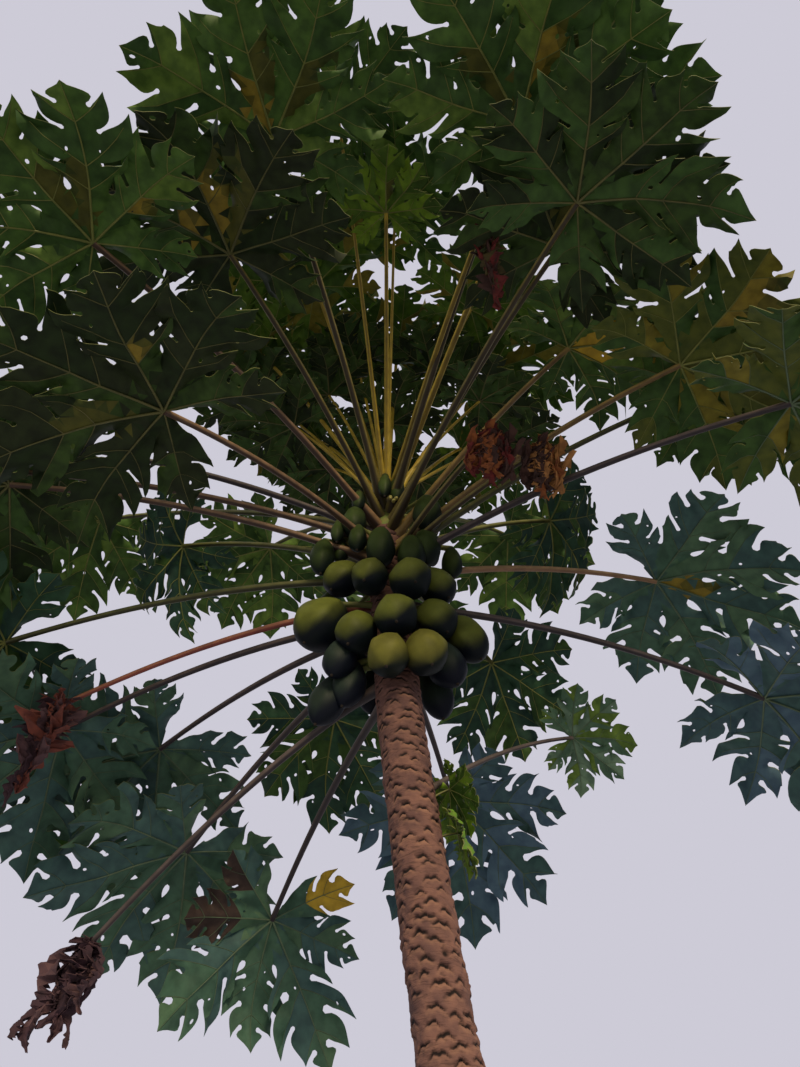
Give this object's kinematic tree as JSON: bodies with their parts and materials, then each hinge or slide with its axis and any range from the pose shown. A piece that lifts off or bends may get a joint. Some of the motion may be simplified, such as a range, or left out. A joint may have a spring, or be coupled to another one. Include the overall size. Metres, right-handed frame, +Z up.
{
  "type": "papaya tree",
  "caption": "Fruiting papaya tree: a slim leaning trunk, a cluster of green fruit below the crown, and an umbrella of long-stalked lobed leaves.",
  "frame": {"origin": "centre of the flat cut under the trunk, at ground level", "axes": "+Z straight up, -Y towards the front (the pictured side), +X to the right seen from the front"},
  "size_m": [2.6603, 2.6234, 4.5531],
  "materials": {
    "bark": "matt tan bark with leaf scars",
    "fruit_skin": "satin green fruit skin",
    "leaf": "satin dark green leaf",
    "young_leaf": "satin light green leaf",
    "withered_leaf": "dry matt red-brown leaf"
  },
  "bodies": {
    "root": {"trunk": "bark", "growing_tip": "young_leaf", "fruit_01": "fruit_skin", "fruit_02": "fruit_skin", "fruit_03": "fruit_skin", "fruit_04": "fruit_skin", "fruit_05": "fruit_skin", "fruit_06": "fruit_skin", "fruit_07": "fruit_skin", "fruit_08": "fruit_skin", "fruit_09": "fruit_skin", "fruit_10": "fruit_skin", "fruit_11": "fruit_skin", "fruit_12": "fruit_skin", "fruit_13": "fruit_skin", "fruit_14": "fruit_skin", "fruit_15": "fruit_skin", "fruit_16": "fruit_skin", "fruit_17": "fruit_skin", "fruit_18": "fruit_skin", "fruit_19": "fruit_skin", "fruit_20": "fruit_skin", "fruit_21": "fruit_skin", "fruit_22": "fruit_skin", "fruit_23": "fruit_skin", "leaf_01": "leaf", "leaf_02": "leaf", "leaf_03": "leaf", "leaf_04": "leaf", "leaf_05": "leaf", "leaf_06": "leaf", "leaf_07": "leaf", "leaf_08": "leaf", "leaf_09": "leaf", "leaf_10": "leaf", "leaf_11": "leaf", "leaf_12": "leaf", "leaf_13": "leaf", "leaf_14": "leaf", "leaf_15": "leaf", "leaf_16": "leaf", "leaf_17": "leaf", "leaf_18": "leaf", "leaf_19": "leaf", "leaf_20": "leaf", "leaf_21": "leaf", "leaf_22": "leaf", "leaf_23": "leaf", "leaf_24": "leaf", "leaf_25": "leaf", "leaf_26": "leaf", "leaf_27": "leaf", "leaf_28": "leaf", "leaf_29": "leaf", "leaf_30": "leaf", "leaf_31": "leaf", "side_shoot": "young_leaf", "withered_leaf_1": "withered_leaf", "withered_leaf_2": "withered_leaf", "withered_leaf_3": "withered_leaf"}
  },
  "joints": []
}
